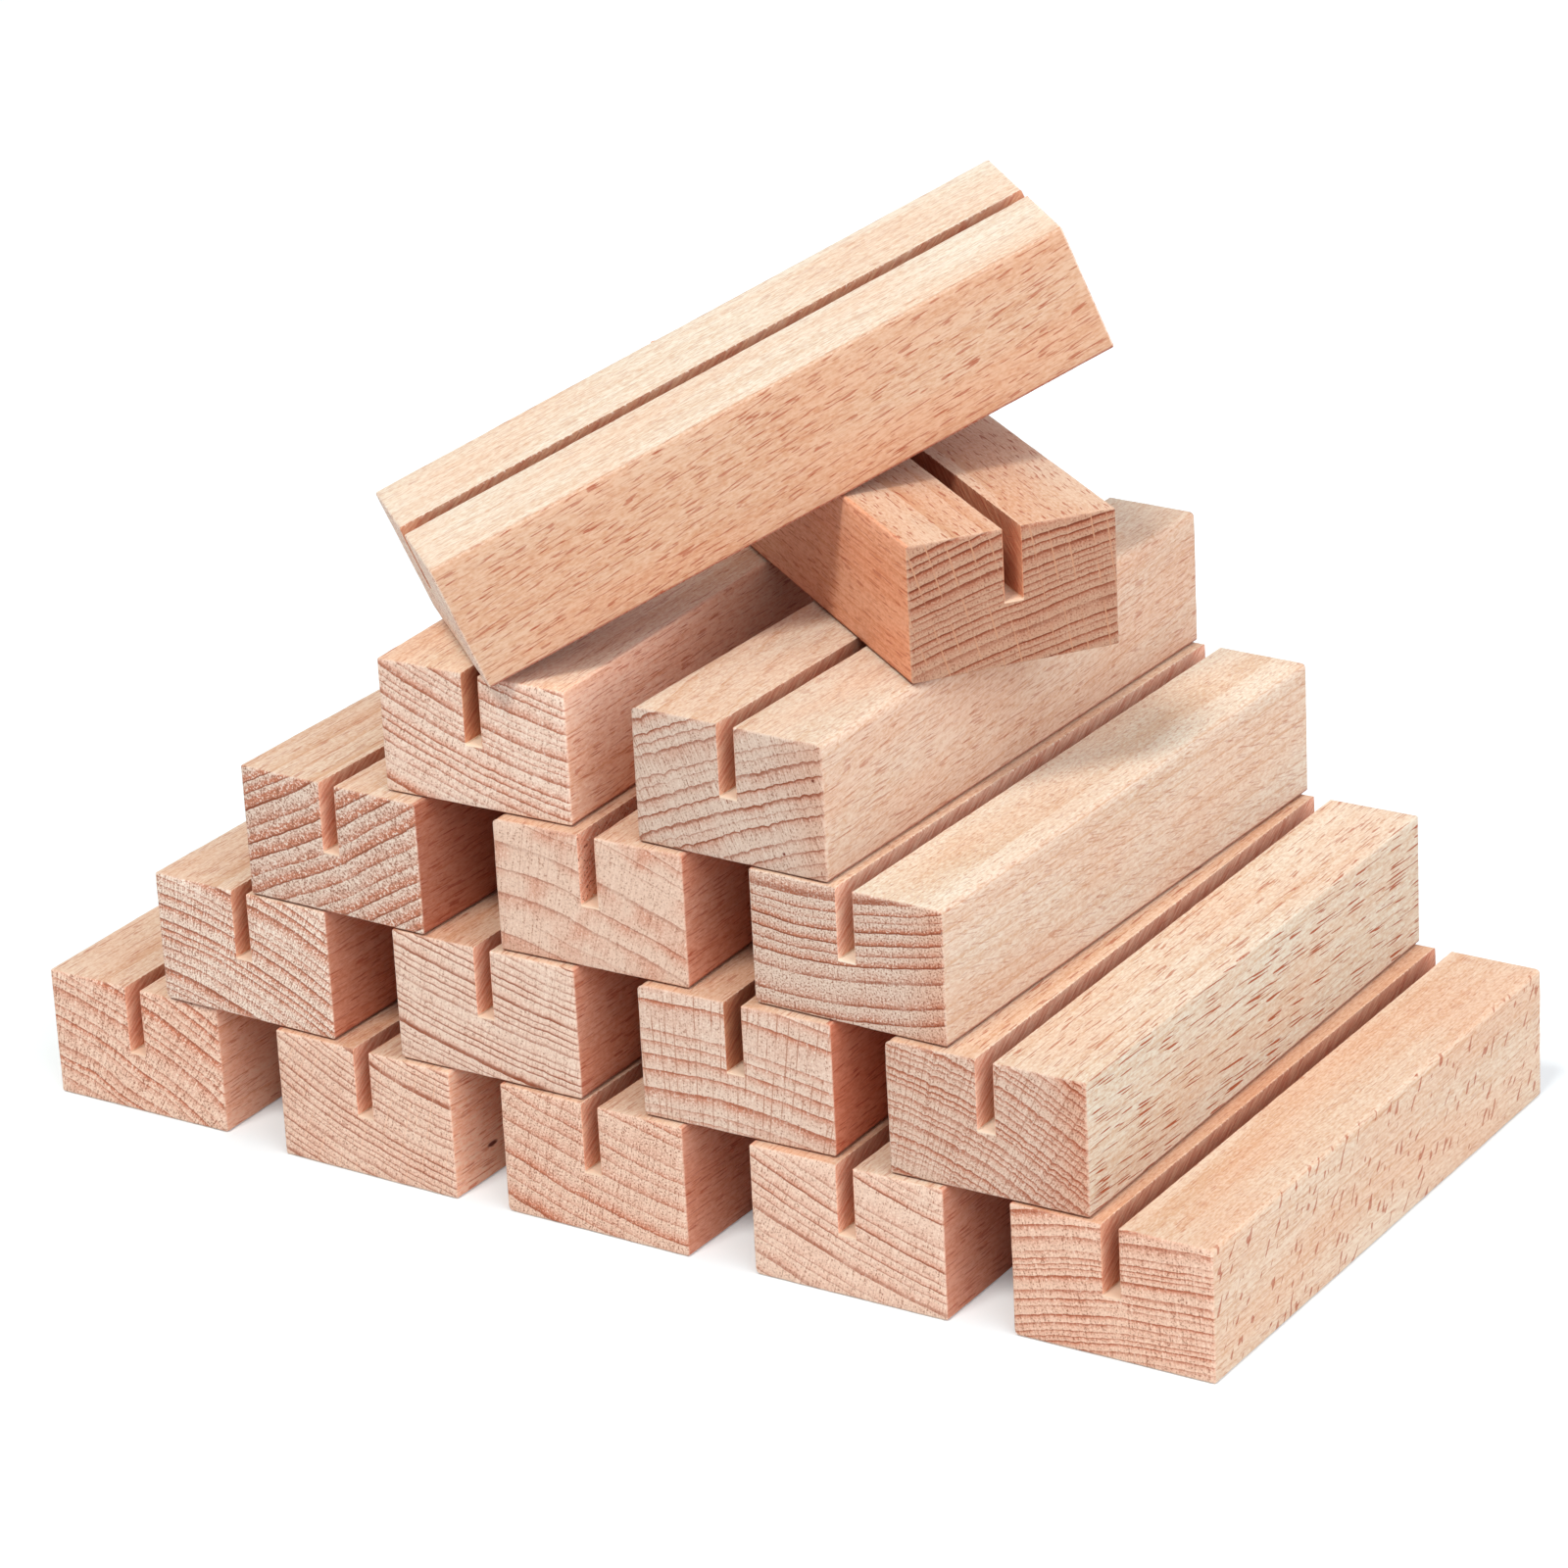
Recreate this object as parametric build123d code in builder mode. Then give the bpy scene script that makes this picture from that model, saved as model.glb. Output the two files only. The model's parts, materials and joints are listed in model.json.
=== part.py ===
"""A pile of slotted wooden photo holders: four staggered rows, one across the top and one leaning.

Every holder is one plain block of beech with a straight sawn slot along the middle of its top.
Millimetres, +Z up, +X along the rows, +Y along the holders from their front ends.
The origin is on the ground under the middle of the bottom row's middle holder.
"""

import os
from typing import NamedTuple

from build123d import *

# One holder
WIDTH = 31
HEIGHT = 20
LENGTH = 98
EDGE_RADIUS = 0.5
SLOT_WIDTH = 2.6
SLOT_DEPTH = 10.6
SLOT_EASE = 0.3

# Clear space between neighbours in a row, and the hair of air between sawn faces that lie together
ROW_GAP = 10.3
LAY_GAP = 0.1

# Cross holder: how far its near lower corner lies in from the right edge and back from the front of
# the holder below, and its turn about Z
CROSS_INSET = 0.5
CROSS_BACK = 23
CROSS_TURN = 55

# Leaning holder: where it rests on the front top edge below, counted from that holder's middle, how
# far its low corner reaches past that point, and its turn within its own slope
LEAN_REST = 2
LEAN_REACH = 5
LEAN_TURN = -5


class Laid(NamedTuple):
    """How a holder lies off its regular place: sideways, back from the front line, turned about Z."""

    aside: float
    back: float
    turn: float


# The rows from the ground up, each from left to right
ROWS = {
    "bottom_row": [
        Laid(0.5, 1, 0.5),
        Laid(2, -0.5, -0.5),
        Laid(0, 0, 0),
        Laid(0.5, 0.5, 1),
        Laid(0, 2, 1),
    ],
    "second_row": [
        Laid(2, 0.5, -0.5),
        Laid(3.5, 0.5, 1),
        Laid(3.5, 1.5, 2),
        Laid(2, 2, 1.5),
    ],
    "third_row": [
        Laid(-1, 0.5, -1),
        Laid(1, 2, 2),
        Laid(1, 3, -0.5),
    ],
    "fourth_row": [
        Laid(3, 3, 2),
        Laid(3.5, 3.5, -0.5),
    ],
}


def row_seat(level, place, count, laid):
    """Underside of a holder in a row: origin under the middle of its front end, Y along its length."""
    regular = (place - (count - 1) / 2) * (WIDTH + ROW_GAP)
    front = (regular + laid.aside, laid.back - LENGTH / 2, level * (HEIGHT + LAY_GAP))
    return Plane(origin=front).rotated((0, 0, laid.turn))


def cross_seat(below):
    """Underside of the cross holder, flat on the row below, its near corner by that row's right edge."""
    corner = below.from_local_coords((WIDTH / 2 - CROSS_INSET, CROSS_BACK, HEIGHT + LAY_GAP))
    turned = Plane(origin=corner).rotated((0, 0, CROSS_TURN))
    return turned.shift_origin(turned.from_local_coords((WIDTH / 2, 0)))


def leaning_seat(below, cross):
    """Underside of the leaning holder, on the cross holder's near top edge and a front edge below."""
    foot = below.from_local_coords((LEAN_REST, 0, HEIGHT + LAY_GAP))
    ridge = cross.from_local_coords((-WIDTH / 2, 0, HEIGHT + LAY_GAP))
    uphill = (ridge - foot) - cross.y_dir * (ridge - foot).dot(cross.y_dir)
    slope = Axis(foot, uphill.cross(cross.y_dir))
    sideways = cross.y_dir.rotate(slope, LEAN_TURN)
    along = Plane(origin=foot, x_dir=-sideways, z_dir=slope.direction)
    return along.shift_origin(along.from_local_coords((LEAN_REACH - WIDTH / 2, 0)))


def make_holder(label, seat):
    """One slotted block standing on its seat, with eased edges, written as its own part."""
    end = Plane(origin=seat.origin, x_dir=seat.x_dir, z_dir=-seat.y_dir)
    with BuildPart() as holder:
        with BuildSketch(end):
            Rectangle(WIDTH, HEIGHT, align=(Align.CENTER, Align.MIN))
        extrude(amount=-LENGTH)
        fillet(holder.edges(), EDGE_RADIUS)
        # The slot is sawn right through, and its mouth flares a little where the edges are eased
        with BuildSketch(end):
            with BuildLine():
                Polyline(
                    (-SLOT_WIDTH / 2, HEIGHT - SLOT_DEPTH),
                    (SLOT_WIDTH / 2, HEIGHT - SLOT_DEPTH),
                    (SLOT_WIDTH / 2, HEIGHT - SLOT_EASE),
                    (SLOT_WIDTH / 2 + 2 * SLOT_EASE, HEIGHT + SLOT_EASE),
                    (-SLOT_WIDTH / 2 - 2 * SLOT_EASE, HEIGHT + SLOT_EASE),
                    (-SLOT_WIDTH / 2, HEIGHT - SLOT_EASE),
                    close=True,
                )
            make_face()
        extrude(amount=-LENGTH, mode=Mode.SUBTRACT)
    holder.part.label = label
    export_step(holder.part, f"parts/{label}.step")


seats = {}
for level, (row, holders) in enumerate(ROWS.items()):
    for place, laid in enumerate(holders):
        seats[f"{row}_{place + 1}"] = row_seat(level, place, len(holders), laid)
seats["cross_holder"] = cross_seat(seats["fourth_row_2"])
seats["leaning_holder"] = leaning_seat(seats["fourth_row_1"], seats["cross_holder"])

os.makedirs("parts", exist_ok=True)
for label, seat in seats.items():
    make_holder(label, seat)
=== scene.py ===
"""A pile of slotted beech photo holders on a white studio floor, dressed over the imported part.

Every holder is sawn and eased as one block, then laid in the place its CAD solid holds.
The beech is worked out in each holder's own millimetres: X across, Y along from its front end, Z up.
"""

import json
import math
from typing import NamedTuple

import bmesh
import bpy
from mathutils import Matrix, Quaternion, Vector


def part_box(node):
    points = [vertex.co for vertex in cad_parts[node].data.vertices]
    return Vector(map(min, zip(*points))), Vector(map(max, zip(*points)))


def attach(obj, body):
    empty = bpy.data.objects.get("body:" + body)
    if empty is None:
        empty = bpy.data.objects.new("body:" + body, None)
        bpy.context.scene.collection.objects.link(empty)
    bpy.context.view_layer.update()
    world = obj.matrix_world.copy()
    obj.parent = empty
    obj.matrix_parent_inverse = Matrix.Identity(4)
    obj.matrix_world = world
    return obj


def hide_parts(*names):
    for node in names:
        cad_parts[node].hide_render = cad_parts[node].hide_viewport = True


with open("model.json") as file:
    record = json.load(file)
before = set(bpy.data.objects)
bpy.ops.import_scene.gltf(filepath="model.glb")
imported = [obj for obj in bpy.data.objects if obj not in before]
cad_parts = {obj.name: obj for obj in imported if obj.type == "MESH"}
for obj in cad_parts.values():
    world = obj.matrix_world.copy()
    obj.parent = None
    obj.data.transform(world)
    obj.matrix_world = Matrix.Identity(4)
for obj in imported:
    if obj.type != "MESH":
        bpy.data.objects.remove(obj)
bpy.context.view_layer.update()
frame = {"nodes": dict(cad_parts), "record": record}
bpy.ops.object.select_all(action="DESELECT")

MM = 0.001

# One holder, measured on the one that lies square to the frame, and its slot
low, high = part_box("bottom_row_3")
WIDTH, LENGTH, HEIGHT = high - low
SLOT_WIDTH = 2.6 * MM
SLOT_DEPTH = 10.6 * MM
SLOT_FLOOR = HEIGHT - SLOT_DEPTH

# Mesh on the faces: the step between its lines across an end, and the cuts along the length
MESH_STEP = 2.3 * MM
LENGTH_CUTS = 97

# Easing of the edges: its width at full weight, its steps, and the weight of an edge that was only
# sanded and of the slot's mouth
EASE = 1.6 * MM
EASE_STEPS = 3
SANDED = 0.24
SLOT_LIP = 0.07

# Wear that the sanding left, inward only: its depth, the size of its patches, and how far it
# reaches in from an edge
FACE_WEAR = 0.07 * MM
FACE_PATCH = 9 * MM
EDGE_WEAR = 0.1 * MM
EDGE_PATCH = 2.6 * MM
EDGE_REACH = 1.2 * MM
WEAR_DETAIL = 2

# Places closer than this are the same, a face that leans less than this is upright, and faces that
# turn less than this against each other are shaded as one
TOUCHING = 0.01 * MM
UPRIGHT = 0.01
SMOOTH_TURN = math.radians(32)


class Wood(NamedTuple):
    """How one holder's beech, and the light and shade painted on it, differs from the next one's."""

    # Tone: how light and warm the ends and the long faces are, the painted light and shade of each side
    # against the long faces, how rosy that warmth is, the painted shade and warm bounce on the left half
    # of the top where it lies covered, and how dark the slot is painted as shade
    end_light: float = 1.0
    end_warmth: float = 0.5
    long_light: float = 1.0
    long_warmth: float = 0.3
    left_side_painted_light: tuple = (0.95, 2.2)
    right_side_painted_light: tuple = (0.95, 2.2)
    rosy: float = 1.0
    covered_painted_shade: float = 0.0
    slot_painted_light: float = 1.0

    # Rings: their slope across the front end in degrees, the way to the pith in mm, below the holder
    # or above it if negative, the mean ring in mm and how that changes outward, the dark band and
    # how late in the year it sets in, the line that ends it, and how much the rings bend, sag
    # between the rays and are blotched
    tilt: float = 0.0
    reach: float = 90.0
    ring: float = 2.2
    crowding: float = 0.0
    band: float = 1.2
    fall: float = 2.0
    line: float = 0.8
    wavy: float = 0.3
    scallop: float = 0.08
    blotch: float = 0.5

    # Ends: dark rays, the gap between rays in mm, pale rays, pores, fine lines outward, and a warmer
    # right edge
    ray: float = 0.25
    ray_gap: float = 1.8
    pale_ray: float = 0.0
    speckle: float = 0.6
    brushed: float = 0.9
    flush: float = 0.0

    # Long faces: flecks on the sides and on the top, their length and thickness in mm, how rare they
    # are, their turn from the grain in degrees, short dashes, streaks, and how far the grain runs
    # out sideways and up
    fleck: float = 0.5
    top_fleck: float = 0.4
    fleck_size: tuple = (4.0, 0.28)
    fleck_rare: float = 0.65
    fleck_turn: float = 0.0
    dash: float = 0.3
    streaky: float = 0.8
    drift: tuple = (0.0, 0.0)

    # Torn fibres in the slot, the weight of edges that are rounder than sanded ones, and dark
    # specks, each with its place in mm, its size and how far it is drawn out along the grain
    torn: float = 0.25
    rounded: dict = {}
    specks: tuple = ()


# The holders of the pile, from the ground up and each row from left to right
HOLDERS = {
    "bottom_row_1": Wood(
        end_light=1.05, end_warmth=0.95, long_warmth=0.5,
        left_side_painted_light=(1.0, 0.0), right_side_painted_light=(1.25, 1.3),
        tilt=-24, reach=70, ring=2.0, band=1.5, line=0.7, wavy=0.8,
        ray=0.15,
    ),
    "bottom_row_2": Wood(
        end_light=1.03, end_warmth=0.8,
        right_side_painted_light=(1.3, 1.1), covered_painted_shade=0.8,
        tilt=-20, reach=-110, ring=1.3, band=0.7, line=0.7,
        ray=0.0, ray_gap=2.6, pale_ray=0.4, speckle=0.5, brushed=0.6,
        specks=((15.4, 9.0, 5.0, 0.6, 2.4),),
    ),
    "bottom_row_3": Wood(
        end_warmth=0.95,
        covered_painted_shade=0.8, slot_painted_light=0.93,
        tilt=-15, reach=-150, ring=2.3, line=0.6,
        ray=0.3, ray_gap=2.2, speckle=0.7, brushed=0.7,
        torn=0.4, rounded={"bottom_left": 0.8},
    ),
    "bottom_row_4": Wood(
        end_light=1.02, end_warmth=0.75,
        covered_painted_shade=0.8,
        tilt=-19, reach=-150, ring=1.9, band=0.8,
        ray=0.2, ray_gap=2.0, speckle=0.45, brushed=0.7,
        rounded={"bottom_left": 0.8},
    ),
    "bottom_row_5": Wood(
        end_warmth=1.1, long_light=0.95, long_warmth=0.45,
        right_side_painted_light=(1.05, -0.1), covered_painted_shade=1.2, slot_painted_light=0.93,
        tilt=8, reach=130, ring=1.25, crowding=-0.012, line=0.6,
        ray=0.15, ray_gap=1.2, speckle=0.5, brushed=0.6,
        fleck=0.7, top_fleck=0.1, fleck_size=(2.7, 0.85), fleck_rare=0.68, fleck_turn=60,
        dash=0.4, rounded={"bottom_left": 0.8, "top_right": 0.5},
    ),
    "second_row_1": Wood(
        end_light=1.04, end_warmth=0.25,
        left_side_painted_light=(1.0, 0.0), slot_painted_light=0.88,
        tilt=-18, reach=85, ring=1.7, band=1.7, line=0.9,
        ray=0.3, ray_gap=1.0, speckle=0.8, brushed=1.3,
        rounded={"bottom_left": 0.8},
    ),
    "second_row_2": Wood(
        covered_painted_shade=0.8,
        tilt=-14, reach=-300, ring=1.25, band=0.7, line=0.95,
        speckle=0.4, brushed=0.5,
        rounded={"bottom_left": 0.8},
    ),
    "second_row_3": Wood(
        end_light=0.93,
        right_side_painted_light=(0.98, 2.95), covered_painted_shade=0.8, slot_painted_light=0.57,
        tilt=-4, reach=120, ring=2.3, band=1.3, line=0.6,
        ray=0.7, ray_gap=1.4, speckle=0.45, brushed=0.6,
        rounded={"top_left": 0.8, "bottom_left": 0.8},
    ),
    "second_row_4": Wood(
        end_light=0.86, end_warmth=0.75, long_light=0.99, long_warmth=-0.15,
        right_side_painted_light=(0.98, -0.2), covered_painted_shade=1.0,
        tilt=-21, reach=70, ring=1.2, band=1.4, line=0.6, scallop=0.25,
        ray=0.5, ray_gap=1.1, brushed=0.6, flush=0.9,
        fleck=1.0, top_fleck=0.6, fleck_size=(6.2, 0.28), fleck_rare=0.66, fleck_turn=-3,
        streaky=0.5, rounded={"top_left": 0.8},
    ),
    "third_row_1": Wood(
        end_light=0.9, end_warmth=0.4,
        left_side_painted_light=(1.0, 0.0), right_side_painted_light=(0.68, 2.8),
        tilt=29, reach=-250, ring=2.3, band=2.2, fall=1.5, line=1.0,
        ray=0.05, speckle=0.8, brushed=0.5,
    ),
    "third_row_2": Wood(
        end_light=0.94, end_warmth=0.85,
        covered_painted_shade=0.8,
        tilt=-15, reach=110, ring=3.4, band=0.5, fall=1.3, line=0.5, wavy=0.6, blotch=2.4,
        speckle=0.4, brushed=0.5,
        torn=1.0, rounded={"top_left": 0.8},
    ),
    "third_row_3": Wood(
        end_light=0.85, end_warmth=0.55, long_light=1.03, long_warmth=-0.5,
        right_side_painted_light=(0.97, 0.4), covered_painted_shade=1.2,
        tilt=5, reach=-90, ring=2.0, crowding=-0.0105, band=1.5, line=1.1,
        ray=0.15, speckle=0.8, brushed=0.6, flush=0.9,
        fleck=0.3, top_fleck=0.3, fleck_rare=0.66, fleck_turn=-15,
        streaky=0.5, rounded={"bottom_left": 0.8, "top_right": 0.6},
    ),
    "fourth_row_1": Wood(
        # Its long faces are painted lighter, standing in for light on its top beneath the leaning holder
        end_light=1.03, end_warmth=0.45, long_light=1.2, long_warmth=0.2,
        left_side_painted_light=(1.0, 0.0), right_side_painted_light=(1.02, 0.8), slot_painted_light=0.66,
        tilt=-17, reach=-110, ring=1.5, band=1.0, line=0.6,
        ray=0.1, speckle=0.5, brushed=0.5,
    ),
    "fourth_row_2": Wood(
        end_light=0.81, long_warmth=0.0,
        right_side_painted_light=(0.97, 0.45), slot_painted_light=0.87,
        tilt=22, reach=300, ring=1.9, band=0.9, fall=3.0, line=0.75, wavy=0.4, scallop=0.3,
        blotch=0.8,
        ray=0.3, ray_gap=1.4, speckle=0.4, flush=0.7,
        fleck=0.4, top_fleck=0.3, fleck_turn=-6,
        streaky=0.6, drift=(0.0, 0.1), rounded={"top_left": 0.8, "top_right": 0.8},
        specks=((13.9, 0.0, 14.6, 0.35, 1.0), (8.6, 0.0, 3.0, 0.3, 1.0)),
    ),
    "cross_holder": Wood(
        # Its end is dark and red partly from its own redder wood and partly as painted shade where the key
        # only grazes it
        end_light=0.57, end_warmth=1.95, long_light=0.97, long_warmth=0.8,
        left_side_painted_light=(1.2, 1.6), right_side_painted_light=(1.0, 0.0), rosy=0.4, slot_painted_light=0.78,
        tilt=12, reach=150, ring=1.35, band=1.4, line=1.0,
        ray=0.0, ray_gap=2.6, pale_ray=1.0, speckle=0.5, brushed=0.4,
        fleck=0.45, top_fleck=0.7, fleck_size=(3.0, 0.3), fleck_rare=0.67,
        streaky=0.4, rounded={"back_top": 1.0, "back_left": 1.0},
    ),
    "leaning_holder": Wood(
        # Its ends are painted lighter, standing in for light that would reach them from the left
        end_light=1.15, end_warmth=0.3, long_light=1.12, long_warmth=-0.3,
        left_side_painted_light=(1.0, 0.0), right_side_painted_light=(0.8, 1.5), rosy=0.0, slot_painted_light=0.7,
        tilt=86, reach=120, band=0.6, line=0.4,
        fleck=0.58, top_fleck=0.2, fleck_size=(3.3, 0.28), fleck_rare=0.645, fleck_turn=5,
        streaky=1.1,
    ),
}


def seat_of(node):
    """A holder's own frame: X across, Y along, Z up, with its origin under the middle of its front end."""
    mouth = next(m for m in frame["record"]["mounts"] if m["name"] == f"photo_slot_{node}")
    up = Vector(mouth["axis"]).normalized()
    upright = [p for p in frame["nodes"][node].data.polygons if abs(p.normal.dot(up)) < UPRIGHT]
    across = max(upright, key=lambda p: p.area).normal.copy()
    along = up.cross(across).normalized()
    if along.y < 0:
        along.negate()
    across = along.cross(up)
    origin = Vector(mouth["pos_m"]) - up * HEIGHT - along * (LENGTH / 2)
    turned = Matrix((across, along, up)).transposed()
    return Matrix.Translation(origin) @ turned.to_4x4()


def pick(piece, kind, wanted):
    """Selects the edges or faces of a piece in edit mode that pass the test."""
    mesh = bmesh.from_edit_mesh(piece.data)
    bpy.ops.mesh.select_mode(type=kind)
    bpy.ops.mesh.select_all(action="DESELECT")
    for part in mesh.edges if kind == "EDGE" else mesh.faces:
        part.select_set(wanted(part))
    mesh.select_flush_mode()
    bmesh.update_edit_mesh(piece.data)


def steps(start, end):
    """Places of the mesh lines between two edges, about a mesh step apart."""
    count = max(1, round((end - start) / MESH_STEP))
    return [start + (end - start) * i / count for i in range(1, count)]


def saw_holder():
    """Models one holder along +Y: its end is drawn and cut to shape, then drawn out to its length."""
    bpy.ops.mesh.primitive_plane_add(
        size=1, location=(0, 0, HEIGHT / 2), rotation=(math.pi / 2, 0, 0)
    )
    holder = bpy.context.object
    holder.name = "sawn_holder"
    holder.scale = (WIDTH, HEIGHT, 1)
    bpy.ops.object.transform_apply(location=True, rotation=True, scale=True)
    bpy.ops.object.mode_set(mode="EDIT")
    cheek = [SLOT_WIDTH / 2] + steps(SLOT_WIDTH / 2, WIDTH / 2)
    upright = [(x, (1, 0, 0)) for x in [-x for x in cheek] + cheek]
    level = steps(0, SLOT_FLOOR) + [SLOT_FLOOR] + steps(SLOT_FLOOR, HEIGHT)
    for place, normal in upright + [(z, (0, 0, 1)) for z in level]:
        bpy.ops.mesh.select_all(action="SELECT")
        bpy.ops.mesh.bisect(plane_co=Vector(normal) * place, plane_no=normal)

    def in_slot(face):
        middle = face.calc_center_median()
        return abs(middle.x) < SLOT_WIDTH / 2 and middle.z > SLOT_FLOOR

    pick(holder, "FACE", in_slot)
    bpy.ops.mesh.delete(type="FACE")
    bpy.ops.mesh.select_all(action="SELECT")
    bpy.ops.mesh.extrude_region_move(TRANSFORM_OT_translate={"value": (0, LENGTH, 0)})
    bpy.ops.mesh.select_all(action="SELECT")
    bpy.ops.mesh.normals_make_consistent(inside=False)
    pick(holder, "EDGE", lambda edge: edge.calc_length() > LENGTH / 2)
    bpy.ops.mesh.subdivide(number_cuts=LENGTH_CUTS)
    bpy.ops.object.mode_set(mode="OBJECT")
    return holder


def both_at(edge, test):
    """True if both ends of an edge pass the test."""
    return all(test(v.co) for v in edge.verts)


def near(value, place):
    """True if a coordinate lies on a place of the holder."""
    return abs(value - place) < TOUCHING


def at_end(edge):
    """True for an edge that lies in the front or the back end."""
    return both_at(edge, lambda p: near(p.y, 0)) or both_at(edge, lambda p: near(p.y, LENGTH))


def on_long_edge(side, height):
    """Test for the pieces of one of the four long outer edges."""
    return lambda edge: both_at(edge, lambda p: near(p.x, side) and near(p.z, height))


LONG_EDGES = {
    "top_left": on_long_edge(-WIDTH / 2, HEIGHT),
    "top_right": on_long_edge(WIDTH / 2, HEIGHT),
    "bottom_left": on_long_edge(-WIDTH / 2, 0),
    "bottom_right": on_long_edge(WIDTH / 2, 0),
}
BACK_EDGES = {
    "back_top": lambda edge: both_at(edge, lambda p: near(p.y, LENGTH) and near(p.z, HEIGHT)),
    "back_left": lambda edge: both_at(edge, lambda p: near(p.y, LENGTH) and near(p.x, -WIDTH / 2)),
}


def round_end(edge):
    """True for the outline of an end."""
    if not at_end(edge):
        return False
    flat = both_at(edge, lambda p: near(p.z, 0)) or both_at(edge, lambda p: near(p.z, HEIGHT))
    side = both_at(edge, lambda p: near(abs(p.x), WIDTH / 2))
    return flat or side


def round_lip(edge):
    """True for the slot's mouth and its outline in the ends."""
    mouth = both_at(edge, lambda p: near(abs(p.x), SLOT_WIDTH / 2) and near(p.z, HEIGHT))
    wall = both_at(edge, lambda p: near(abs(p.x), SLOT_WIDTH / 2) and p.z > SLOT_FLOOR - TOUCHING)
    return mouth or (wall and at_end(edge))


def lay_holder(sawn, node, wood, seat):
    """Copies the sawn holder, eases its edges as this one's are, and lays it on its seat."""
    bpy.ops.object.select_all(action="DESELECT")
    sawn.select_set(True)
    bpy.context.view_layer.objects.active = sawn
    bpy.ops.object.duplicate(linked=False)
    holder = bpy.context.object
    holder.name = f"{node}_wood"
    holder.data.name = holder.name
    bpy.ops.object.mode_set(mode="EDIT")
    eased = [(test, wood.rounded.get(name, SANDED)) for name, test in LONG_EDGES.items()]
    eased += [(round_end, SANDED), (round_lip, SLOT_LIP)]
    # Weights add up, so a round back edge only gets what its sanding lacks
    for name, test in BACK_EDGES.items():
        if name in wood.rounded:
            eased.append((test, wood.rounded[name] - SANDED))
    for test, weight in eased:
        pick(holder, "EDGE", test)
        bpy.ops.transform.edge_bevelweight(value=weight)
    bpy.ops.object.mode_set(mode="OBJECT")
    easing = holder.modifiers.new("easing", "BEVEL")
    easing.limit_method = "WEIGHT"
    easing.width = EASE
    easing.segments = EASE_STEPS
    easing.use_clamp_overlap = False
    bpy.ops.object.modifier_apply(modifier=easing.name)
    wear_group(holder)
    holder.matrix_world = seat
    bpy.ops.object.transform_apply(location=True, rotation=True, scale=True)
    wear(holder, "planed", FACE_WEAR, FACE_PATCH, "")
    wear(holder, "worn", EDGE_WEAR, EDGE_PATCH, "edges")
    bpy.ops.object.shade_smooth_by_angle(angle=SMOOTH_TURN)
    return holder


def wear_group(holder):
    """Marks the points by the outer edges and the slot's mouth, where the wood is worn."""
    edges = holder.vertex_groups.new(name="edges")
    for vertex in holder.data.vertices:
        x, y, z = vertex.co
        away = sorted((WIDTH / 2 - abs(x), min(y, LENGTH - y), min(z, HEIGHT - z)))[1]
        lip = (abs(x) - SLOT_WIDTH / 2) + (HEIGHT - z)
        if min(away, lip) < EDGE_REACH:
            edges.add([vertex.index], 1.0, "REPLACE")


def wear(holder, name, depth, patch, group):
    """Takes a little wood off, at most a depth, in patches of a size."""
    patches = bpy.data.textures.get(name)
    if patches is None:
        patches = bpy.data.textures.new(name, "CLOUDS")
        patches.noise_scale = patch
        patches.noise_depth = WEAR_DETAIL
    taken = holder.modifiers.new(name, "DISPLACE")
    taken.texture = patches
    taken.texture_coords = "GLOBAL"
    taken.mid_level = 1.0
    taken.strength = depth
    taken.vertex_group = group
    bpy.ops.object.modifier_apply(modifier=taken.name)


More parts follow.
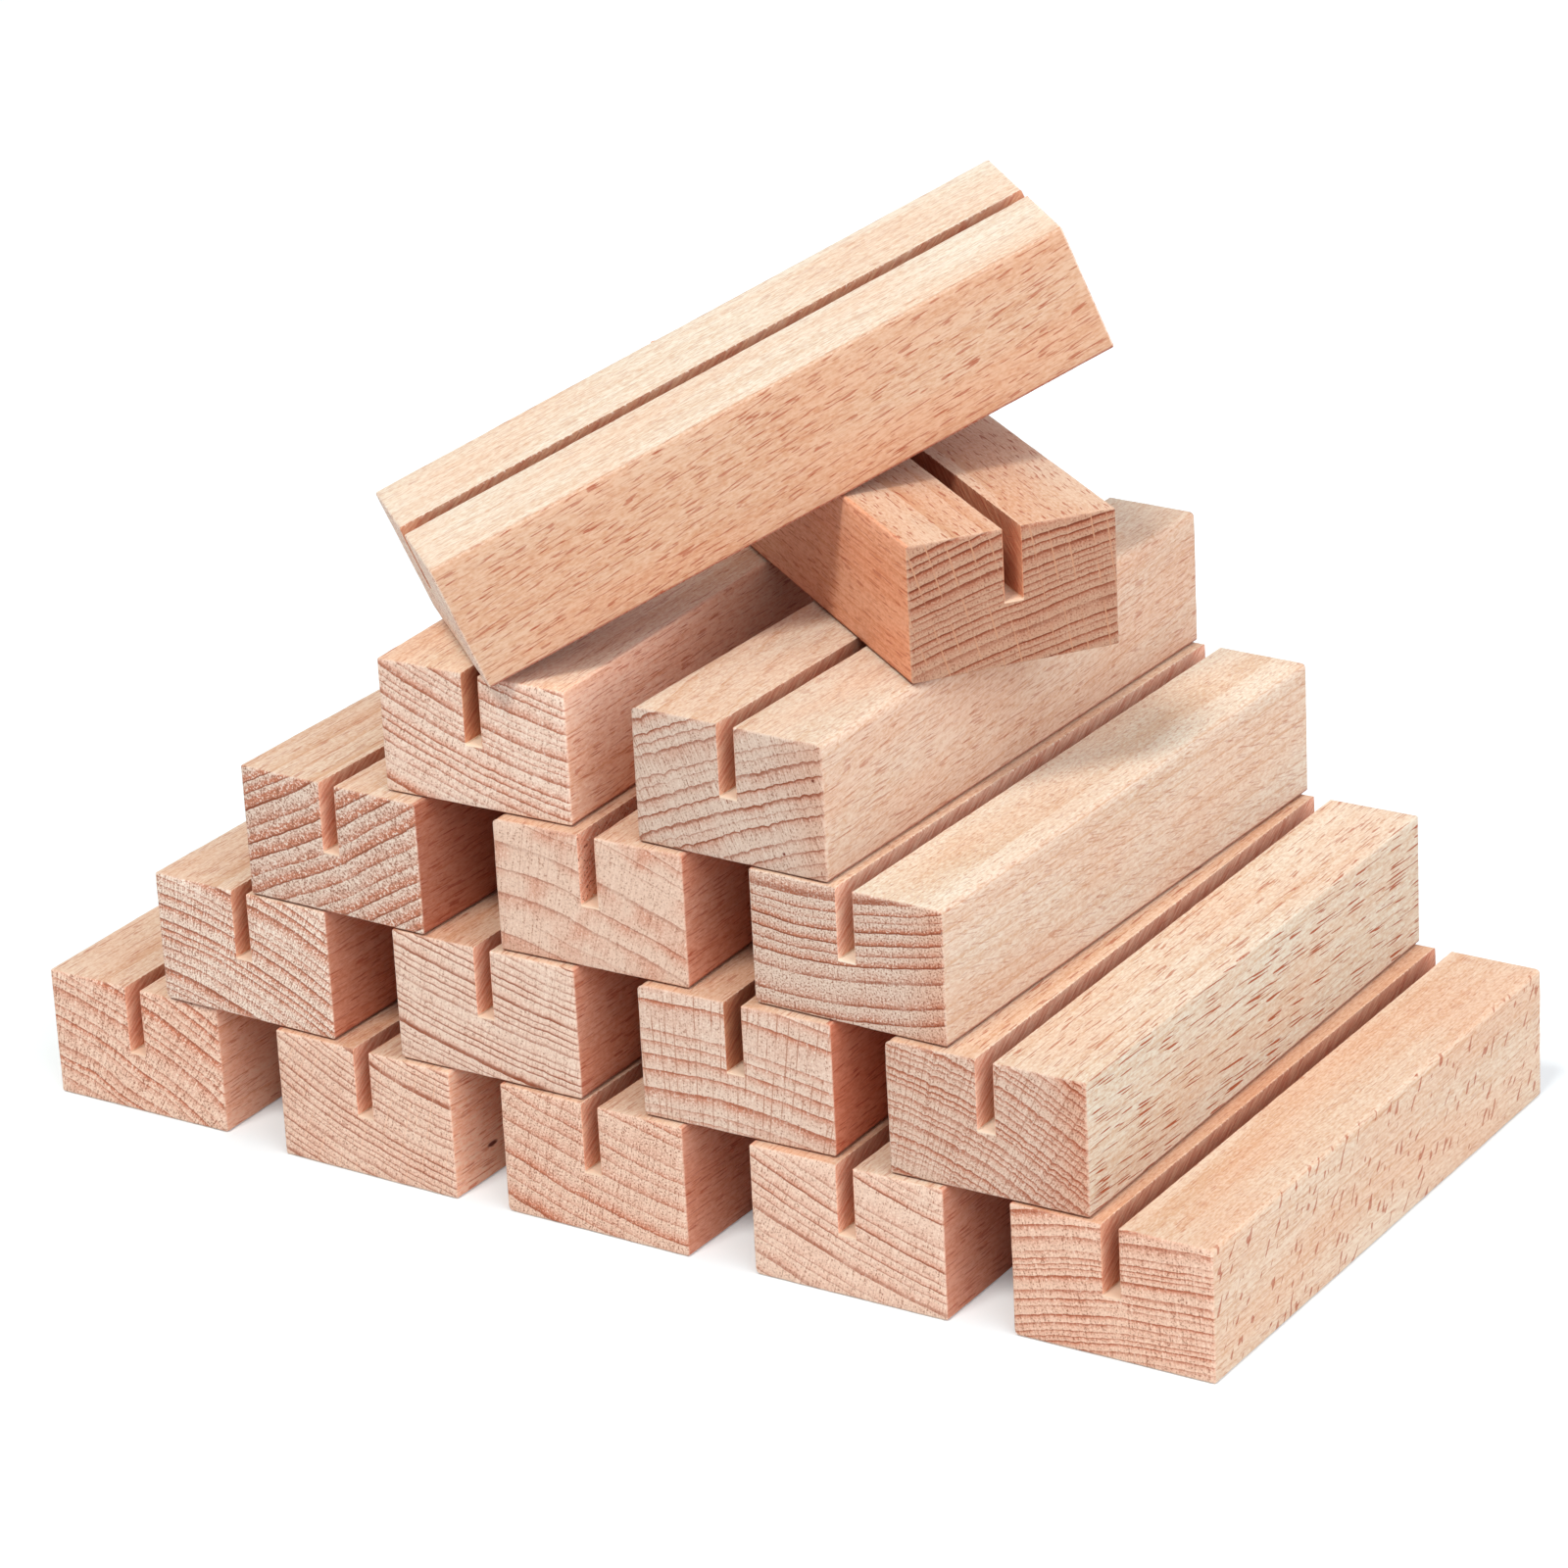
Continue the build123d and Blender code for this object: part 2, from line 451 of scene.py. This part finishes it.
class Grain:
    """A socket of a material's nodes. Arithmetic on it adds Math nodes."""

    def __init__(self, tree, socket=None):
        self.tree = tree
        self.socket = socket

    def add(self, kind, settings, inputs, output=0):
        """Adds a node: first its settings, then the values and links of its sockets."""
        node = self.tree.nodes.new(kind)
        for name, value in settings.items():
            setattr(node, name, value)
        for name, value in inputs.items():
            if isinstance(value, Grain):
                self.tree.links.new(value.socket, node.inputs[name])
            else:
                node.inputs[name].default_value = value
        return Grain(self.tree, node.outputs[output])

    def math(self, operation, *values):
        """A Math node on these values."""
        return self.add("ShaderNodeMath", {"operation": operation}, dict(enumerate(values)))

    def __add__(self, other):
        return self.math("ADD", self, other)

    def __radd__(self, other):
        return self.math("ADD", other, self)

    def __sub__(self, other):
        return self.math("SUBTRACT", self, other)

    def __rsub__(self, other):
        return self.math("SUBTRACT", other, self)

    def __mul__(self, other):
        return self.math("MULTIPLY", self, other)

    def __rmul__(self, other):
        return self.math("MULTIPLY", other, self)

    def __truediv__(self, other):
        return self.math("DIVIDE", self, other)

    def __rtruediv__(self, other):
        return self.math("DIVIDE", other, self)

    def __pow__(self, other):
        return self.math("POWER", self, other)

    def __neg__(self):
        return self.math("MULTIPLY", self, -1.0)

    def __abs__(self):
        return self.math("ABSOLUTE", self)

    def least(self, other):
        """The smaller of two values."""
        return self.math("MINIMUM", self, other)

    def most(self, other):
        """The larger of two values."""
        return self.math("MAXIMUM", self, other)

    def swing(self):
        """Noise of 0 to 1 as a swing about 0."""
        return self - 0.5

    def fade(self, start, end):
        """0 at start and 1 at end, smoothly, whichever is larger."""
        return self.add(
            "ShaderNodeMapRange",
            {"interpolation_type": "SMOOTHSTEP"},
            {"Value": self, "From Min": start, "From Max": end},
        )

    def mix(self, under, over):
        """A colour: under where this mask is 0 and over where it is 1."""
        return self.add(
            "ShaderNodeMix",
            {"data_type": "RGBA", "clamp_factor": True},
            {0: self, 6: under, 7: over},
            output=2,
        )

    def times(self, colour):
        """This colour as a tint changes it."""
        return self.add("ShaderNodeVectorMath", {"operation": "MULTIPLY"}, {0: self, 1: colour})

    def within(self, limit):
        """This colour with no channel above a limit."""
        return self.add("ShaderNodeVectorMath", {"operation": "MINIMUM"}, {0: self, 1: (limit,) * 3})

    def at(self, y, z):
        """A place in space from three values, this one first."""
        return self.add("ShaderNodeCombineXYZ", {}, {"X": self, "Y": y, "Z": z})

    def cells(self, feature):
        """Distance in cells of uneven width along this value, about one unit wide."""
        return self.add(
            "ShaderNodeTexVoronoi",
            {"voronoi_dimensions": "1D", "feature": feature},
            {"W": self, "Scale": 1.0},
            "Distance",
        )

    def noise(self, detail, roughness=0.5):
        """Cloudy noise at a place, 0 to 1, with features about one unit across."""
        return self.add(
            "ShaderNodeTexNoise",
            {},
            {"Vector": self, "Scale": 1.0, "Detail": detail, "Roughness": roughness},
        )


# Colours of beech, 0 to 255. On the ends: early wood, late wood, ring lines, rays, pores and glints
END_CREAM = (237, 219, 203)
END_ROSE = (209, 137, 106)
END_LINE = (146, 82, 56)
END_RAY = (176, 118, 90)
END_PALE_RAY = (244, 212, 186)
END_PORE = (161, 112, 90)
END_GLINT = (250, 240, 228)

# On the long faces: the wood and its streaks, flecks, specks, edges rubbed pale and partly painted as
# highlights, and painted shade along the underside where it lies on another holder
LONG_CREAM = (232, 212, 190)
LONG_TAN = (214, 174, 142)
FLECK = (172, 86, 52)
SPECK = (110, 48, 32)
EDGE_PALE_AND_HIGHLIGHT = (238, 214, 192)
UNDERSIDE_PAINTED_SHADE = (146, 60, 36)

# In the slot: its walls, the marks of the saw, torn fibres and the shade by them, and its bed
SAWN = (254, 204, 174)
SAW_MARK = (220, 138, 108)
TORN = (246, 226, 204)
TORN_SHADE = (150, 76, 54)
SLOT_BED = (240, 218, 194)

# Share of green and blue that one step of warmth takes, and what rose takes more or less of it
WARM_GREEN = 0.16
WARM_BLUE = 0.24
ROSE_GREEN = 0.02
ROSE_BLUE = 0.025

# No tint at all, and the share of the light that the palest wood gives back
PLAIN = (1.0, 1.0, 1.0, 1.0)
LIGHTEST = 0.97

# Shifts that give each holder its own stretch of wood: along the grain, round the pith, in the
# crowding of the rings and in their years
GRAIN_SHIFT = 131.0
CELL_SHIFT = 7.7
CROWD_SHIFT = 3.7
YEAR_SHIFT = 17.0

# Sizes in mm across the grain and along it
BEND_SIZE = (14, 80)
CLOUD_SIZE = (7, 40)
HONEY_SIZE = (9, 30)
STRIPE_SIZE = (1.3, 60)
FIBRE_SIZE = (0.24, 9)
DASH_SIZE = (0.16, 2.5)
PORE_SIZE = (0.29, 1.5)
GRIT_SIZE = (0.3, 0.9)

# Sizes in mm round the pith, along the grain and outward
LOBE_SIZE = (1.3, 25, 5)
PATCH_SIZE = (3, 9, 3)
STREAK_SIZE = (0.8, 2.5, 5)
FINE_SIZE = (0.2, 2, 2.5)

# Rings: how far they bend in mm, how far they crowd in rings and how fast that changes, the number
# of the ring in the holder's middle, and the dark line in mm
RING_BEND = 4
RING_CROWD = 2.0
CROWD_CHANGE = 0.45
MIDDLE_RING = 50.0
RING_LINE = 0.4

# A ray's distance from its middle in mm where it fades out and where it is full, and the softness
# of a fleck's edge
RAY_EDGE = (0.15, 0.04)
FLECK_EDGE = 0.05

# Where one face gives way to the next, in mm from the end, from the side, from the slot's wall, from
# its floor, from the top, up from the underside where its painted shade ends, and left of the slot
# where the painted shade on a covered top begins
END_EDGE = (0.4, 0.1)
SIDE_EDGE = (0.9, 0.2)
WALL_EDGE = (0.2, 0.06)
BED_EDGE = (0.3, 0.1)
TOP_EDGE = (0.6, 0.2)
UNDERSIDE_SHADE_EDGE = (0.6, 0.25)
COVER_PAINTED_SHADE_EDGE = 0.4

# Warmth of the honey patches, the warm flush by an end's right edge and its width in mm, the tone of
# the painted shade and warm bounce on a covered top, and the span of pores and glints
HONEY_WARMTH = 0.35
FLUSH_TONE = (0.95, 1.2)
FLUSH_WIDTH = 9
COVER_PAINTED_SHADE_LIGHT = 0.97
GRAINS_SPAN = 0.55

# Saw marks in the slot: their slant, gap and run in mm; the size of the fuzz and of rubbed patches;
# the painted shade deep in the slot and how far in from the ends it begins and ends; how fast red,
# green and blue darken in the slot's painted shade
SAW_SLANT = 0.6
SAW_GAP = 0.45
SAW_RUN = 6
FUZZ_SIZE = 0.5
RUBBED_SIZE = 0.7
DEEP_SLOT_PAINTED_SHADE = (0.75, 0.3)
DEEP_SLOT_SHADE_FROM = (1.0, 5.0)
SLOT_PAINTED_SHADE_SPEEDS = (1.0, 1.6, 2.2)

# Finish: gloss, and the height of fibres, flecks, pores, fine lines and saw marks in mm
GLOSS = 0.25
FIBRE_RISE = 0.03
FLECK_SINK = 0.03
PORE_RISE = 0.03
FINE_RISE = 0.02
SAW_RISE = 0.14


def paint(red, green, blue):
    """A colour given as on a colour chart, 0 to 255, as the linear one that shaders take."""
    chart = [c / 255 for c in (red, green, blue)]
    return [c / 12.92 if c <= 0.04045 else ((c + 0.055) / 1.055) ** 2.4 for c in chart]


def tint(light, warmth, rosy=0.0):
    """A tint that makes wood lighter or darker and warmer or greyer, from honey to rose."""
    green = 1 - (WARM_GREEN + ROSE_GREEN * rosy) * warmth
    blue = 1 - (WARM_BLUE - ROSE_BLUE * rosy) * warmth
    return (light, light * green, light * blue, 1.0)


def tone(colour, light, warmth):
    """A colour of beech as one holder has it, lighter or darker and warmer or greyer."""
    red, green, blue = paint(*colour)
    red_share, green_share, blue_share, solid = tint(light, warmth)
    return (red * red_share, green * green_share, blue * blue_share, solid)


class Timber:
    """The wood of one holder: where its faces and its grain lie, in its own millimetres, and their look."""

    half = WIDTH / MM / 2
    length = LENGTH / MM
    height = HEIGHT / MM
    slot = SLOT_WIDTH / MM / 2
    floor = SLOT_FLOOR / MM

    def __init__(self, wood, seat, seed, start):
        self.wood = wood
        self.seed = seed
        self.lies_on_wood = seat.to_translation().z > MM
        self.find_faces(seat, start)
        self.find_pith()
        self.grow_rings()
        self.grow_rays()
        self.grow_fibres()

    def end_tone(self, colour):
        """A colour of the ends."""
        return tone(colour, self.wood.end_light, self.wood.end_warmth)

    def long_tone(self, colour):
        """A colour of the long faces and the slot."""
        return tone(colour, self.wood.long_light, self.wood.long_warmth)

    def find_faces(self, seat, start):
        """Place on the holder, and where its ends, sides, slot and edges are."""
        place = start.add("ShaderNodeTexCoord", {}, {}, "Object")
        place = start.add(
            "ShaderNodeMapping",
            {"vector_type": "TEXTURE"},
            {
                "Vector": place,
                "Location": seat.to_translation(),
                "Rotation": seat.to_euler(),
                "Scale": (MM, MM, MM),
            },
        )
        u, v, w = [start.add("ShaderNodeSeparateXYZ", {}, {"Vector": place}, axis) for axis in "XYZ"]
        self.u = u
        self.v = v
        self.w = w
        self.from_end = v.least(self.length - v)
        self.end = self.from_end.fade(*END_EDGE)
        self.by_side = [self.half - depth for depth in SIDE_EDGE]
        between_walls = abs(u).fade(*[self.slot + depth for depth in WALL_EDGE])
        self.in_slot = between_walls * w.fade(*[self.floor - depth for depth in BED_EDGE])
        side = self.half - abs(u)
        flat = w.least(self.height - w)
        self.corner = side.least(flat).most(side.most(flat).least(self.from_end))
        self.lip = (abs(u) - self.slot) + (self.height - w)

    def find_pith(self):
        """Place in the trunk: outward from the pith, round it, and along the grain."""
        reach = self.wood.reach
        tilt = math.radians(self.wood.tilt)
        sideways, upward = self.wood.drift
        self.across = self.u - self.v * sideways
        self.up = self.w - self.v * upward - self.height / 2
        from_pith = self.across - reach * math.sin(tilt)
        over_pith = self.up + reach * math.cos(tilt)
        self.out = (from_pith * from_pith + over_pith * over_pith) ** 0.5 - abs(reach)
        angle = from_pith.math("ARCTAN2", from_pith, over_pith * math.copysign(1, reach))
        self.turned = angle * abs(reach)
        self.grown = self.v + self.seed * GRAIN_SHIFT

    def along_grain(self, size, detail, roughness=0.5):
        """Noise that is drawn out along the grain."""
        thick, long = size
        return (self.across / thick).at(self.grown / long, self.up / thick).noise(detail, roughness)

    def round_pith(self, size, detail):
        """Noise that follows the rings."""
        wide, long, deep = size
        return (self.turned / wide).at(self.grown / long, self.out / deep).noise(detail)

    def grow_rings(self):
        """Growth rings: a soft darker band that ends in a thin line and sags between the rays."""
        wood = self.wood
        self.cell = self.turned / wood.ray_gap + self.seed * CELL_SHIFT
        sag = self.cell.cells("F1")
        lobes = self.round_pith(LOBE_SIZE, 0.0).swing()
        ragged = lobes * (0.1 + 0.8 * wood.scallop) + sag * sag * (1.6 * wood.scallop)
        bent = self.along_grain(BEND_SIZE, 1.0).swing()
        rings = self.out + bent * (RING_BEND * wood.wavy) + ragged
        rings = rings * (rings * wood.crowding + 1 / wood.ring) + MIDDLE_RING
        crowd = (rings * CROWD_CHANGE).at(self.seed * CROWD_SHIFT, 0.0).noise(0.0)
        rings = rings + crowd.swing() * RING_CROWD
        late = rings.math("FRACT", rings)
        count = rings.math("FLOOR", rings) + self.seed * YEAR_SHIFT
        year = count.add("ShaderNodeTexWhiteNoise", {"noise_dimensions": "1D"}, {"W": count})
        patchy = self.round_pith(PATCH_SIZE, 2.0)
        self.cloud = self.along_grain(CLOUD_SIZE, 2.0).swing()
        self.band = late**wood.fall * (year * 0.8 + patchy * 0.8) * wood.band
        strong = (year * 0.7 + patchy * 0.6 + self.cloud * 1.2).most(0.05) * wood.line
        thin = RING_LINE / wood.ring
        self.line = late.fade(1 - thin, 1 - 0.3 * thin) * strong

    def grow_rays(self):
        """Rays: thin lines outward on the ends, short dark flecks on the long faces."""
        wood = self.wood
        between = self.cell.cells("DISTANCE_TO_EDGE")
        streak = self.round_pith(STREAK_SIZE, 1.0)
        self.ray = between.fade(*[edge / wood.ray_gap for edge in RAY_EDGE]) * streak.fade(0.36, 0.6)
        turn = math.radians(wood.fleck_turn)
        long, thick = wood.fleck_size
        lengthwise = self.grown * math.cos(turn) + self.up * math.sin(turn)
        athwart = self.up * math.cos(turn) - self.grown * math.sin(turn)
        fleck = (self.across / thick).at(lengthwise / long, athwart / thick).noise(0.0)
        fleck = fleck.fade(wood.fleck_rare, wood.fleck_rare + FLECK_EDGE)
        flecked = abs(self.u).fade(*self.by_side) * (wood.fleck - wood.top_fleck) + wood.top_fleck
        dash = self.along_grain(DASH_SIZE, 0.0).fade(0.62, 0.76)
        self.marks = fleck * flecked + dash * wood.dash

    def grow_fibres(self):
        """Fibres, pores, fine lines outward, and the marks of the saw in the slot."""
        self.fibre = self.along_grain(FIBRE_SIZE, 2.0, 0.6)
        self.pore = self.along_grain(PORE_SIZE, 1.0, 0.6).swing()
        self.fine = self.round_pith(FINE_SIZE, 1.0).swing()
        slanting = (self.w - self.v * SAW_SLANT) / SAW_GAP
        self.saw = slanting.at((self.w + self.v) / SAW_RUN, self.u).noise(2.0, 0.65)

    def long_faces(self):
        """Colour of the sides, the top and the underside, with painted light and shade on the sides, on a
        covered top and along the underside.
        """
        wood = self.wood
        stripe = self.along_grain(STRIPE_SIZE, 2.0).swing()
        grit = self.along_grain(GRIT_SIZE, 1.0, 0.6).swing()
        streaks = self.fibre.swing() * 0.7 + stripe * wood.streaky + self.cloud * 0.7 + grit * 2.0
        darker = streaks + self.band * 0.2 + self.line * 0.4 + 0.3
        colour = darker.mix(self.long_tone(LONG_CREAM), self.long_tone(LONG_TAN))
        honey = self.along_grain(HONEY_SIZE, 1.0).fade(0.3, 0.7)
        colour = colour.times(honey.mix(tint(1.0, -HONEY_WARMTH), tint(1.0, HONEY_WARMTH)))
        colour = self.marks.mix(colour, self.long_tone(FLECK))
        # Painted light and shade on each side: darker and redder in the gaps between holders, lighter or
        # darker where the lamps fall on it
        for side_painted_light, towards in ((wood.left_side_painted_light, -self.u), (wood.right_side_painted_light, self.u)):
            on_side = towards.fade(*self.by_side)
            colour = colour.times(on_side.mix(PLAIN, tint(*side_painted_light, wood.rosy)))
        # Painted shade and warm bounce on the top left of the slot, beside and under the holder that lies
        # on it
        if wood.covered_painted_shade:
            left = self.u.fade(-self.slot, -self.slot - COVER_PAINTED_SHADE_EDGE)
            on_top = self.w.fade(*[self.height - depth for depth in TOP_EDGE])
            colour = colour.times((left * on_top).mix(PLAIN, tint(COVER_PAINTED_SHADE_LIGHT, wood.covered_painted_shade)))
        # Painted shade, dark red, along the underside of a holder that lies on another, for the seam
        # between them
        if self.lies_on_wood:
            colour = self.w.fade(*UNDERSIDE_SHADE_EDGE).mix(colour, self.long_tone(UNDERSIDE_PAINTED_SHADE))
        return colour

    def ends(self):
        """Colour of the two ends."""
        wood = self.wood
        late = self.band + self.cloud * wood.blotch
        colour = late.mix(self.end_tone(END_CREAM), self.end_tone(END_ROSE))
        grains = self.pore * (3.2 * wood.speckle) + self.fine * (1.3 * wood.brushed)
        colour = grains.fade(0.0, GRAINS_SPAN).mix(colour, self.end_tone(END_PORE))
        colour = grains.fade(0.0, -GRAINS_SPAN).mix(colour, self.end_tone(END_GLINT))
        colour = self.line.mix(colour, self.end_tone(END_LINE))
        if wood.ray:
            colour = (self.ray * wood.ray).mix(colour, self.end_tone(END_RAY))
        if wood.pale_ray:
            colour = (self.ray * wood.pale_ray).mix(colour, self.end_tone(END_PALE_RAY))
        if wood.flush:
            flushed = self.u.fade(self.half - FLUSH_WIDTH, self.half) * wood.flush
            colour = colour.times(flushed.mix(PLAIN, tint(*FLUSH_TONE)))
        return colour

    def slot_faces(self):
        """Colour of the slot: walls with slanting saw marks and torn fibres, darkened deeper in and per
        holder as painted shade, and a clean bed.
        """
        wood = self.wood
        fuzz = (self.v / FUZZ_SIZE).at(self.w / FUZZ_SIZE, self.u / FUZZ_SIZE).noise(2.0, 0.7)
        scratched = self.saw * 3.0 + fuzz * 1.4 - 1.75
        colour = scratched.mix(self.long_tone(SAWN), self.long_tone(SAW_MARK))
        colour = (fuzz.fade(0.58, 0.68) * wood.torn).mix(colour, self.long_tone(TORN))
        colour = (fuzz.fade(0.42, 0.34) * wood.torn).mix(colour, self.long_tone(TORN_SHADE))
        # Painted shade in the slot: darker deeper in from the ends, and darker and redder by each holder's
        # own amount
        colour = colour.times(self.from_end.fade(*DEEP_SLOT_SHADE_FROM).mix(PLAIN, tint(*DEEP_SLOT_PAINTED_SHADE)))
        colour = colour.times([wood.slot_painted_light**speed for speed in SLOT_PAINTED_SHADE_SPEEDS])
        on_bed = self.w.fade(*[self.floor + depth for depth in BED_EDGE])
        return on_bed.mix(colour, self.long_tone(SLOT_BED))

    def colour(self):
        """Colour of the whole holder, with edges rubbed pale and partly painted as highlights, and its
        specks.
        """
        colour = self.end.mix(self.long_faces(), self.ends())
        colour = (self.in_slot * 0.95).mix(colour, self.slot_faces())
        rubbed = (self.across / RUBBED_SIZE).at(self.v / RUBBED_SIZE, self.up / RUBBED_SIZE)
        rubbed = rubbed.noise(2.0, 0.7)
        # Edges rubbed pale: partly worn fibres, partly a painted highlight where rounded edges catch the
        # light
        edge = self.corner.fade(0.5, 0.15) * rubbed.fade(0.3, 0.7) * 0.4
        colour = edge.mix(colour, self.long_tone(EDGE_PALE_AND_HIGHLIGHT))
        mouth = self.lip.fade(0.6, 0.1) * rubbed.fade(0.5, 0.65) * 0.8
        colour = mouth.mix(colour, self.long_tone(TORN))
        for across, along, up, size, drawn in self.wood.specks:
            off = (self.u - across, (self.v - along) / drawn, self.w - up)
            away = sum(way * way for way in off) ** 0.5 + self.pore * 0.4
            colour = away.fade(size, 0.4 * size).mix(colour, self.long_tone(SPECK))
        return colour.within(LIGHTEST)

    def roughness(self):
        """Sanded, without any lacquer."""
        return self.fibre * 0.12 + self.end * 0.14 + self.in_slot * 0.12 + 0.52

    def relief(self):
        """Bumps of the fibres, the pores and the saw."""
        long_faces = self.fibre.swing() * FIBRE_RISE - self.marks * FLECK_SINK
        ends = self.pore * PORE_RISE + self.fine * FINE_RISE
        slot_faces = self.saw.swing() * SAW_RISE
        relief = (1 - self.end) * long_faces + self.end * ends + self.in_slot * slot_faces
        return relief.add("ShaderNodeBump", {}, {"Strength": 1.0, "Distance": MM, "Height": relief})


def beech(node, wood, seat, seed):
    """The material of one holder."""
    material = bpy.data.materials.new(f"beech_{node}")
    material.use_nodes = True
    tree = material.node_tree
    shader = tree.nodes["Principled BSDF"]
    shader.inputs["Specular IOR Level"].default_value = GLOSS
    timber = Timber(wood, seat, seed, Grain(tree))
    tree.links.new(timber.colour().socket, shader.inputs["Base Color"])
    tree.links.new(timber.roughness().socket, shader.inputs["Roughness"])
    tree.links.new(timber.relief().socket, shader.inputs["Normal"])
    return material


sawn_holder = saw_holder()
for number, (node, wood) in enumerate(HOLDERS.items()):
    seat = seat_of(node)
    holder = lay_holder(sawn_holder, node, wood, seat)
    holder.data.materials.clear()
    holder.data.materials.append(beech(node, wood, seat, number + 1))
    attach(holder, node)
    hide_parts(node)
bpy.data.objects.remove(sawn_holder)

# Studio light: the key high in front, and a broad soft fill from the right
KEY_TOWARDS = (-0.02, -0.5, 0.866)
KEY_STRENGTH = 1.85
KEY_WIDTH = 17.0
KEY_COLOUR = (1.0, 0.98, 0.94)
FILL_FROM = (1.0, -0.45, 0.75)
FILL_SIZE = 1.5
FILL_POWER = 12.8
FILL_COLOUR = (0.98, 1.0, 1.05)

# Sky: its light in front and behind, its colour, and how it grows backward and to the left
SKY_FRONT = 0.08
SKY_BACK = 0.74
SKY_COLOUR = (0.95, 0.97, 1.0, 1.0)
SKY_BACKWARD = 0.95
SKY_LEFTWARD = 0.3
SKY_SPAN = 0.7

# White floor that keeps the shadows: what it throws back on the wood, and what the camera sees
FLOOR_SIZE = 12
FLOOR_DROP = 0.02 * MM
FLOOR_TONE = 0.75
FLOOR_SEEN = (0.82, 0.875, 0.89, 1.0)
FLOOR_GLOW = 0.17


def seen_directly(start):
    """1 for what the camera sees, straight or in a gloss or through glass, and 0 for light."""
    kinds = ("Is Camera Ray", "Is Glossy Ray", "Is Transmission Ray")
    rays = [start.add("ShaderNodeLightPath", {}, {}, kind) for kind in kinds]
    return rays[0].most(rays[1]).most(rays[2])


def studio_floor():
    """The white floor, just under the pile."""
    bpy.ops.mesh.primitive_plane_add(size=FLOOR_SIZE, location=(0, 0, -FLOOR_DROP))
    floor = bpy.context.object
    floor.name = "studio_floor"
    material = bpy.data.materials.new("studio_floor")
    material.use_nodes = True
    tree = material.node_tree
    tree.nodes.remove(tree.nodes["Principled BSDF"])
    start = Grain(tree)
    lit = start.add("ShaderNodeBsdfDiffuse", {}, {"Color": (FLOOR_TONE,) * 3 + (1,)})
    seen = start.add("ShaderNodeBsdfDiffuse", {}, {"Color": FLOOR_SEEN})
    glow = start.add("ShaderNodeEmission", {}, {"Color": PLAIN, "Strength": FLOOR_GLOW})
    seen = start.add("ShaderNodeAddShader", {}, {0: seen, 1: glow})
    both = start.add("ShaderNodeMixShader", {}, {0: seen_directly(start), 1: lit, 2: seen})
    tree.links.new(both.socket, tree.nodes["Material Output"].inputs["Surface"])
    floor.data.materials.append(material)


def studio_light():
    """The two lamps, and a sky that the camera sees as plain white."""
    key = bpy.data.lights.new("key", "SUN")
    key.energy = KEY_STRENGTH
    key.angle = math.radians(KEY_WIDTH)
    key.color = KEY_COLOUR
    fill = bpy.data.lights.new("fill", "AREA")
    fill.shape = "DISK"
    fill.size = FILL_SIZE
    fill.energy = FILL_POWER
    fill.color = FILL_COLOUR
    for light, towards in ((key, KEY_TOWARDS), (fill, FILL_FROM)):
        lamp = bpy.data.objects.new(light.name, light)
        bpy.context.scene.collection.objects.link(lamp)
        lamp.location = towards
        lamp.rotation_mode = "QUATERNION"
        lamp.rotation_quaternion = Vector(towards).to_track_quat("Z", "Y")
    world = bpy.data.worlds.new("studio")
    bpy.context.scene.world = world
    world.use_nodes = True
    tree = world.node_tree
    start = Grain(tree)
    towards = start.add("ShaderNodeTexCoord", {}, {}, "Generated")
    right = start.add("ShaderNodeSeparateXYZ", {}, {"Vector": towards}, "X")
    behind = start.add("ShaderNodeSeparateXYZ", {}, {"Vector": towards}, "Y")
    grows = (behind * SKY_BACKWARD - right * SKY_LEFTWARD).fade(-SKY_SPAN, SKY_SPAN)
    lit = grows * (SKY_BACK - SKY_FRONT) + SKY_FRONT
    seen = seen_directly(start)
    strength = lit.most(seen)
    colour = seen.mix(SKY_COLOUR, PLAIN)
    tree.links.new(colour.socket, tree.nodes["Background"].inputs["Color"])
    tree.links.new(strength.socket, tree.nodes["Background"].inputs["Strength"])


# Camera: where the photograph was taken from, with a full-frame sensor in mm
CAMERA_AZIMUTH = math.radians(34.463)
CAMERA_ELEVATION = math.radians(22.925)
CAMERA_ROLL = math.radians(-3.088)
CAMERA_DISTANCE = 0.8895
CAMERA_TARGET = Vector((-1.7, 5.56, 47.38)) * MM
CAMERA_LENS = 141.9
CAMERA_SENSOR = 36
CAMERA_NEAREST = 0.05


def camera():
    """The camera, looking at the middle of the pile."""
    data = bpy.data.cameras.new("camera")
    data.sensor_width = CAMERA_SENSOR
    data.lens = CAMERA_LENS
    data.clip_start = CAMERA_NEAREST
    eye = bpy.data.objects.new("camera", data)
    bpy.context.scene.collection.objects.link(eye)
    level = math.cos(CAMERA_ELEVATION)
    back = Vector(
        (
            math.sin(CAMERA_AZIMUTH) * level,
            -math.cos(CAMERA_AZIMUTH) * level,
            math.sin(CAMERA_ELEVATION),
        )
    )
    eye.location = CAMERA_TARGET + back * CAMERA_DISTANCE
    eye.rotation_mode = "QUATERNION"
    roll = Quaternion((0, 0, 1), CAMERA_ROLL)
    eye.rotation_quaternion = (-back).to_track_quat("-Z", "Y") @ roll
    bpy.context.scene.camera = eye


studio_floor()
studio_light()
camera()
bpy.context.scene.view_settings.view_transform = "Standard"
